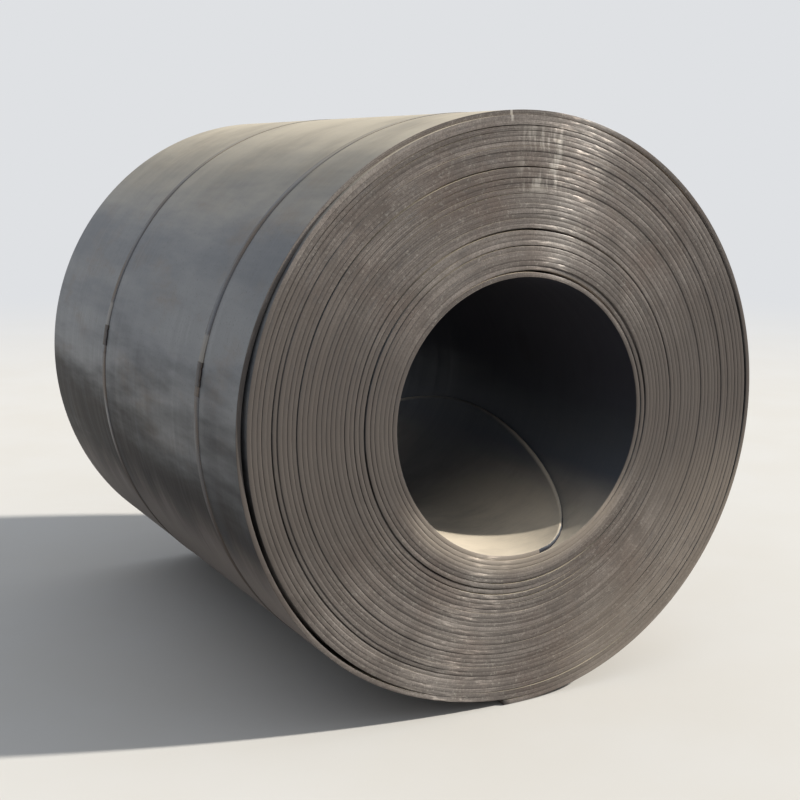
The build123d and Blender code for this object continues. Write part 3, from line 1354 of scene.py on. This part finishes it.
@dataclass
class Strap:
    """One steel strap pulled round the coil, and the seal that holds its ends.

    Attributes:
        label: which strap it is.
        along: where its middle is along the axis.
        course: the winding that it goes round.
        width: the strap's width.
        thickness: its thickness.
        bevel: how far its upper corners are taken off.
        sunk: how far its sides reach down under its lower face.
        rows: rows of points round the coil, outside the lap.
        lap_row: length of strap from row to row in the lap.
        seal_clock: where the seal is.
        seal_length: the seal's length round the coil.
        seal_wall: thickness of the seal's sheet.
        seal_corner: how round the folds of its sheet are.
        seal_sunk: how far its sides reach down under the strap.
        seal_rows: rows of points along it.
        tail: free end that shows past the seal.
        tail_lift: how strongly the free end springs up.
        bite: how deep a crimp goes in.
        bite_length: how long a crimp is.
        bite_swell: how much of its bite stands up on the seal's top.
        drift: how far the upper layer lies to one side of the lower.
    """

    label: str
    along: float
    course: Winding
    width: float = 32 * MM
    thickness: float = 1 * MM
    bevel: float = 0.2 * MM
    sunk: float = 1.2 * MM
    rows: int = 320
    lap_row: float = 2 * MM
    seal_clock: float = -100.0
    seal_length: float = 64 * MM
    seal_wall: float = 1.6 * MM
    seal_corner: float = 1 * MM
    seal_sunk: float = 0.2 * MM
    seal_rows: int = 49
    tail: float = 26 * MM
    tail_lift: float = 3.0
    bite: float = 3.4 * MM
    bite_length: float = 6 * MM
    bite_swell: float = 0.15
    drift: float = 1.2 * MM

    def ground(self, clock: np.ndarray) -> np.ndarray:
        """Radius that the strap lies at: straight over any hollow of the coil.

        Args:
            clock: clock angles in degrees.

        Returns:
            One radius for each.
        """
        around = np.arange(0, FULL_TURN, 0.5)
        corners = np.array(hull(around, self.course.outer_radius(around, self.along)))
        angle, radius = corners[:, 0], corners[:, 1]
        angle = np.concatenate([angle - FULL_TURN, angle, angle + FULL_TURN])
        radius = np.tile(radius, 3)
        asked = clock % FULL_TURN
        after = np.searchsorted(angle, asked, side="right")
        a0, a1 = np.radians(angle[after - 1]), np.radians(angle[after])
        r0, r1 = radius[after - 1], radius[after]
        here = np.radians(asked)
        return r0 * r1 * np.sin(a1 - a0) / (r0 * np.sin(here - a0) + r1 * np.sin(a1 - here))

    def bitten(self, offset: np.ndarray) -> np.ndarray:
        """How much the crimps take from half the width, at distances from the seal's middle."""
        crimps = (-self.seal_length / 4, self.seal_length / 4)
        return self.bite * sum(np.exp(-((offset - crimp) / (self.bite_length / 2)) ** 2) for crimp in crimps)

    def sweep(self, clock: np.ndarray, run: np.ndarray,
              outline: Sequence[tuple[np.ndarray, np.ndarray]]) -> MeshParts:
        """Lead an outline round the coil.

        Args:
            clock: the clock angle of each row.
            run: how far along the strap each row is.
            outline: radius and place along the axis of each of its points, at each row.

        Returns:
            A tube with open ends.
        """
        points = np.stack([on_coil(clock, radius, along, self.course.axis_height)
                           for radius, along in outline], axis=1)
        run = np.broadcast_to(run[:, None], points.shape[:2])
        wind = np.stack([run, points[..., 1], np.zeros(run.shape)], axis=-1)
        return MeshParts.tube(points, wind, [0] * len(outline))

    def lift(self, clock: np.ndarray, lap: np.ndarray) -> np.ndarray:
        """How far the strap lies above the coil: over its first end, and up at its last.

        Args:
            clock: the clock angle of each row.
            lap: where the upper layer's rows are, from the middle of the seal.

        Returns:
            The height of each row's lower face.
        """
        below = len(clock) - len(lap)
        ramp = np.array([0.2, 0.5, 0.8])
        raised = np.zeros(len(clock))
        raised[below - len(ramp):below] = self.thickness * ramp
        raised[below:] = self.thickness
        radius = self.course.coil_radius
        sprung = math.degrees(0.6 * self.tail / radius)
        free = np.clip(clock - clock[-1] + sprung, 0, None)
        return raised + np.radians(free) ** 2 * radius * self.tail_lift

    def build_band(self, finish: Material) -> Piece:
        """The strap: once round the coil, and on over its own first end.

        Args:
            finish: its finish.

        Returns:
            The piece.
        """
        radius = self.course.coil_radius
        half_lap = math.degrees((self.seal_length / 2 + self.tail) / radius)
        lap = np.arange(-half_lap, half_lap, math.degrees(self.lap_row / radius))
        start = self.seal_clock + half_lap
        rest = np.linspace(start, start + FULL_TURN - 2 * half_lap, self.rows)[1:-1]
        clock = np.concatenate([self.seal_clock + lap, rest, self.seal_clock + FULL_TURN + lap])
        raised = self.lift(clock, lap)
        upper = clock > self.seal_clock + FULL_TURN / 2
        middle = self.along + np.clip(upper * self.drift * raised / self.thickness, 0, self.drift)
        offset = np.radians((clock - self.seal_clock + FULL_TURN / 2) % FULL_TURN - FULL_TURN / 2) * radius
        half = self.width / 2 - self.bitten(offset)
        lie = self.ground(clock) + np.minimum(raised, 4 * self.thickness)
        top = self.thickness
        one_side = ((0.0, -self.sunk), (0.0, top - self.bevel), (self.bevel, top))
        corners = [(-1, *corner) for corner in one_side] + [(1, *corner) for corner in one_side[::-1]]
        outline = [(lie + height, middle + side * (half - inset)) for side, inset, height in corners]
        parts = self.sweep(clock, np.radians(clock) * radius, outline)
        count, last = len(outline), len(parts.points)
        parts.face(range(count), creased=True)
        parts.face(range(last - count, last), creased=True)
        return parts.piece(self.label + "_strap_band", [finish])

    def build_seal(self, finish: Material) -> Piece:
        """The seal: a sheet sleeve folded round both layers, bitten in along its edges.

        Args:
            finish: its finish.

        Returns:
            The piece.
        """
        offset = np.linspace(-self.seal_length / 2, self.seal_length / 2, self.seal_rows)
        half = self.width / 2 + self.seal_wall - self.bitten(offset)
        top = 2 * self.thickness + self.seal_wall + self.bite_swell * self.bitten(offset)
        clock = self.seal_clock + np.degrees(offset / self.course.coil_radius)
        lie = self.ground(clock)
        foot, corner = np.full_like(top, -self.seal_sunk), self.seal_corner
        fold = ((1.0, -corner), (0.97, -0.3 * corner), (0.94, 0.0))
        crest = [*((-side, drop) for side, drop in fold), (0.0, 0.1 * corner), *fold[::-1]]
        outline = []
        for inset in (0.0, self.seal_wall):
            sheet = [(lie + (top + drop - inset), self.along + side * (half - inset)) for side, drop in crest]
            sheet.insert(0, (lie + foot, self.along - (half - inset)))
            sheet.append((lie + foot, self.along + (half - inset)))
            outline += sheet if inset == 0.0 else sheet[::-1]
        parts = self.sweep(clock, offset, outline)
        count = len(outline)
        for first in (0, len(parts.points) - count):
            for j in range(count // 2 - 1):
                parts.face((first + j, first + j + 1, first + count - 2 - j, first + count - 1 - j))
        return parts.piece(self.label + "_strap_seal", [finish])

    def build(self, band: StrapSteel, sleeve: StrapSteel) -> list[Piece]:
        """Build and dress the strap and its seal."""
        return [
            seat(self.build_band(band.material()), "strapping", self.label + "_strap"),
            seat(self.build_seal(sleeve.material()), "strap_seal", self.label + "_seal"),
        ]


def hull(clock: np.ndarray, radius: np.ndarray) -> list[tuple[float, float]]:
    """Corners of the tightest line round a coil's section.

    Args:
        clock: clock angles in degrees, rising.
        radius: the section's radius at each.

    Returns:
        Clock angle and radius of each corner, in the same order.
    """
    angle = np.radians(clock)
    x, y = radius * np.cos(angle), radius * np.sin(angle)
    first = int(np.argmax(radius))
    order = [*range(first, len(clock)), *range(first + 1)]
    kept: list[int] = []
    for k in order:
        while len(kept) > 1:
            a, b = kept[-2], kept[-1]
            turn = (x[b] - x[a]) * (y[k] - y[a]) - (y[b] - y[a]) * (x[k] - x[a])
            if turn > 0:
                break
            kept.pop()
        kept.append(k)
    return sorted((float(clock[k]), float(radius[k])) for k in set(kept))


def seat(piece: Piece, slot: str, *nodes: str) -> Piece:
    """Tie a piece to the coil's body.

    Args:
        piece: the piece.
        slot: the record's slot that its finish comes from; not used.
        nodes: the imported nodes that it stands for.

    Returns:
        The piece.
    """
    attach(piece, "root")
    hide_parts(*nodes)
    return piece


@dataclass
class Studio:
    """Floor, backdrop, lamps and camera.

    Attributes:
        backdrop: the pale colour behind the coil.
        floor: the floor's colour.
        shade: the floor as its own bounce light sees it.
        floor_half: half the floor's width.
        floor_fade: distances between which it fades into the backdrop.
        fill: colour of the light from all round.
        fill_low: its strength from the sides.
        fill_high: its strength from straight above.
        key_from: direction to the main lamp.
        key_spread: how wide it looks, in degrees.
        key_strength: how strong it is.
        key_colour: its colour.
        eye: where the camera stands.
        look_azimuth: where it looks, from +Y towards +X, in degrees.
        look_down: how far down it looks, in degrees.
        lens: its focal length in millimetres.
        film: its film's width in millimetres.
    """

    backdrop: Colour = paint("dfe1e4")
    floor: Colour = paint("d6d4d0")
    shade: Colour = paint("5a5755")
    floor_half: float = 40.0
    floor_fade: Span = (3.5, 11.0)
    fill: Colour = paint("e6ebf2")
    fill_low: float = 0.25
    fill_high: float = 0.75
    key_from: tuple[float, float, float] = (0.745, -0.41, 0.555)
    key_spread: float = 2.5
    key_strength: float = 4.6
    key_colour: tuple[float, float, float] = (1.0, 0.95, 0.86)
    eye: tuple[float, float, float] = (-1.926, -3.785, 1.512)
    look_azimuth: float = 28.3
    look_down: float = 10.6
    lens: float = 59.0
    film: float = 36.0

    def floor_finish(self) -> Material:
        """The floor's finish, which turns into the backdrop with distance.

        Returns:
            The material.
        """
        s = Shader("pale_floor")
        place = s.place()
        clouds = s.noise(place, scale=1.5, detail=5.0)
        colour = s.mix(s.band(clouds, 0.3, 0.7, 0.0, 0.2), self.floor, self.backdrop)
        colour = s.mix(s.directly_seen(), self.shade, colour)
        cover = s.node("BsdfPrincipled", {"Base Color": colour, "Roughness": 0.9, "Specular IOR Level": 0.1})
        glow = s.node("Emission", {"Color": self.backdrop, "Strength": 1.0})
        away = s.node("VectorMath", {0: place}, operation="LENGTH").outputs["Value"]
        far = s.band(away, *self.floor_fade)
        join = s.node("MixShader", {0: far, 1: cover.outputs[0], 2: glow.outputs[0]})
        s.node("OutputMaterial", {"Surface": join.outputs[0]})
        return s.material

    def build_floor(self) -> Piece:
        """A level floor.

        Returns:
            The floor.
        """
        half = self.floor_half
        corners = [(-half, -half, 0), (half, -half, 0), (half, half, 0), (-half, half, 0)]
        mesh = bpy.data.meshes.new("floor")
        mesh.from_pydata(corners, [], [(0, 1, 2, 3)])
        mesh.materials.append(self.floor_finish())
        made = shown("floor", mesh)
        return made

    def build_world(self) -> None:
        """Even light from all round, in front of a pale backdrop."""
        world = bpy.data.worlds.new("studio")
        bpy.context.scene.world = world
        world.use_nodes = True
        s = Nodes(world.node_tree)
        height = s.part(s.node("TexCoord").outputs["Generated"], "Z")
        rise = s.node("MapRange", {"Value": height, "To Min": self.fill_low, "To Max": self.fill_high})
        lit = s.node("Background", {"Color": self.fill, "Strength": rise.outputs[0]})
        seen = s.node("Background", {"Color": self.backdrop})
        join = s.node("MixShader", {0: s.directly_seen(), 1: lit.outputs[0], 2: seen.outputs[0]})
        s.node("OutputWorld", {"Surface": join.outputs[0]})

    def build_key(self) -> Piece:
        """One main lamp, high on the right.

        Returns:
            The lamp.
        """
        lamp = bpy.data.lights.new("key", "SUN")
        lamp.angle = math.radians(self.key_spread)
        lamp.energy = self.key_strength
        lamp.color = self.key_colour
        made = shown("key", lamp)
        made.rotation_euler = (-Vector(self.key_from)).to_track_quat("-Z", "Y").to_euler()
        return made

    def build_camera(self) -> Piece:
        """The camera, where the photograph was taken from, turned to take in the whole coil.

        Returns:
            The camera.
        """
        camera = bpy.data.cameras.new("camera")
        camera.lens = self.lens
        camera.sensor_width = self.film
        made = shown("camera", camera)
        made.location = self.eye
        across, down = math.radians(self.look_azimuth), math.radians(self.look_down)
        look = Vector((math.sin(across) * math.cos(down), math.cos(across) * math.cos(down), -math.sin(down)))
        made.rotation_euler = look.to_track_quat("-Z", "Y").to_euler()
        bpy.context.scene.camera = made
        return made

    def build(self) -> None:
        """Set up everything round the coil."""
        self.build_camera()
        self.build_world()
        self.build_key()
        self.build_floor()
        bpy.context.scene.view_settings.view_transform = "Standard"


def shaded_bore_scale() -> MillScale:
    """The strip's skin inside the bore: a darker and duller copy of the skin, the darkness painted shade,
    with dust on the bore's floor and a bluish film that is partly painted sky light.
    """
    return MillScale(name="shaded_bore_scale", deep=paint("26282c"), pale=paint("34363b"), stain=paint("332e2a"),
                     under=paint("42424a"), mud_and_bounce=paint("42424a"), film_share=0.85, dust_and_light=paint("eaddc8"),
                     dust_up=(0.5, 0.98), dust_ragged=0.12, dust_and_light_inside=0.25, gloss=0.7, sheen=0.0, ior=1.3)


def seal_steel() -> StrapSteel:
    """The seals' steel, darker than the strap's."""
    return StrapSteel(name="seal_steel", blue=paint("35343a"), brown=paint("4a4038"),
                      worn=paint("a39682"), gloss=0.38)


def main() -> None:
    """Build the studio and the coil, and report each piece."""
    logging.basicConfig(level=logging.INFO, format="%(name)s: %(message)s")
    Studio().build()
    winding = Winding()
    pieces = Coil(winding).build(MillScale(), shaded_bore_scale(), MillEdge())
    for place in StrapPlace:
        label = place.name.lower()
        strap_steel = StrapSteel(name=label + "_strap_steel", gripped=(253.0, 258.0))
        pieces += Strap(label, place.value, winding).build(strap_steel, seal_steel())
    for piece in pieces:
        LOG.info("%s: %d faces", piece.name, len(piece.data.polygons))


if __name__ == "__main__":
    main()
